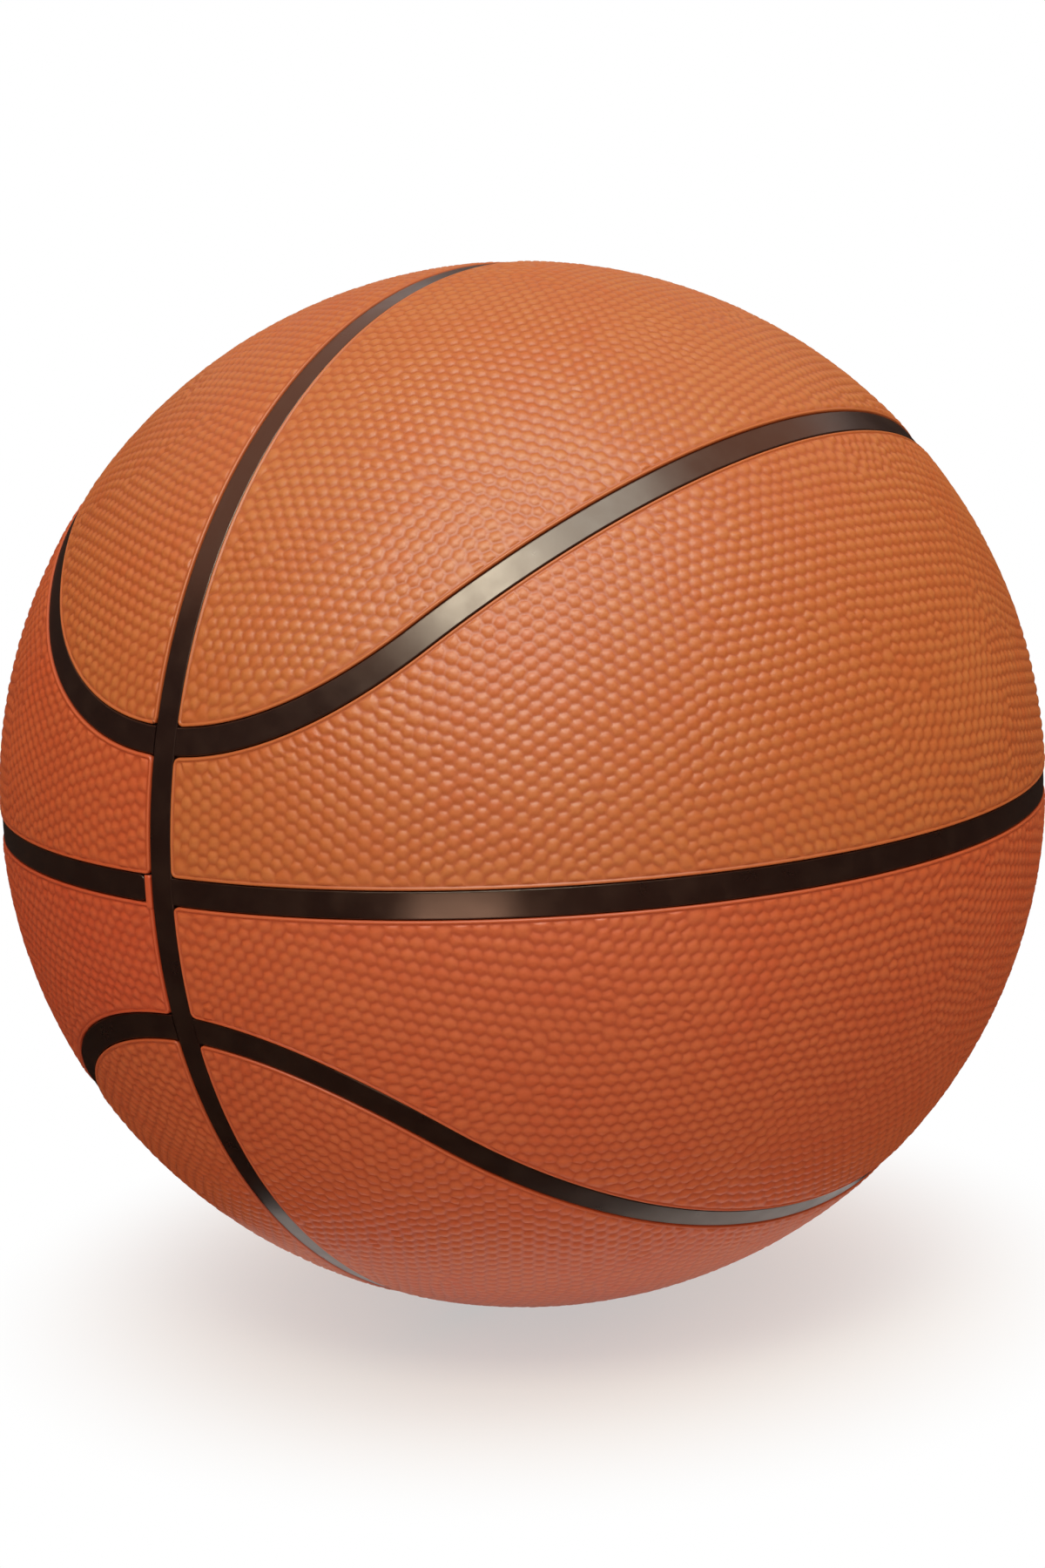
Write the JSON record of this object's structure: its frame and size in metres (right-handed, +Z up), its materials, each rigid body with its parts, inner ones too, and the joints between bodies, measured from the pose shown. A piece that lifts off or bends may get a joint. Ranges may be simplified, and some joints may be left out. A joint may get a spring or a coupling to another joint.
{
  "type": "basketball",
  "caption": "Inflated ball with a pebbled cover in curved panels, smooth black seam strips set between them, and a needle valve in one side panel.",
  "frame": {"origin": "centre of the ball", "axes": "+Z up, square to the flat seam's plane; +Y through the two places where the flat and upright seams cross, with the crossing that the picture shows at -Y; +X to the right seen from there"},
  "size_m": [0.2398, 0.2398, 0.2398],
  "materials": {
    "cover": "pebbled, satin",
    "seam_strip": "smooth, satin",
    "carcass": "matt",
    "winding": "thread wound with latex",
    "bladder": "smooth",
    "valve_housing": "satin",
    "valve_plug": "satin"
  },
  "bodies": {
    "ball": {"bladder": "bladder", "carcass": "carcass", "crown_panel_lower_left": "cover", "crown_panel_lower_right": "cover", "crown_panel_upper_left": "cover", "crown_panel_upper_right": "cover", "curved_seam_strip_lower_left": "seam_strip", "curved_seam_strip_lower_right": "seam_strip", "curved_seam_strip_upper_left": "seam_strip", "curved_seam_strip_upper_right": "seam_strip", "flat_seam_strip_left": "seam_strip", "flat_seam_strip_right": "seam_strip", "side_panel_lower_left": "cover", "side_panel_lower_right": "cover", "side_panel_upper_left": "cover", "side_panel_upper_right": "cover", "upright_seam_strip": "seam_strip", "valve_housing": "valve_housing", "winding": "winding"},
    "valve_plug": {"valve_plug": "valve_plug"}
  },
  "joints": [
    {"name": "valve_plug_slide", "type": "slide", "parent": "ball", "child": "valve_plug", "axis": [-0.9239, 0, 0.3827], "range_m": [0, 0.02]}
  ]
}
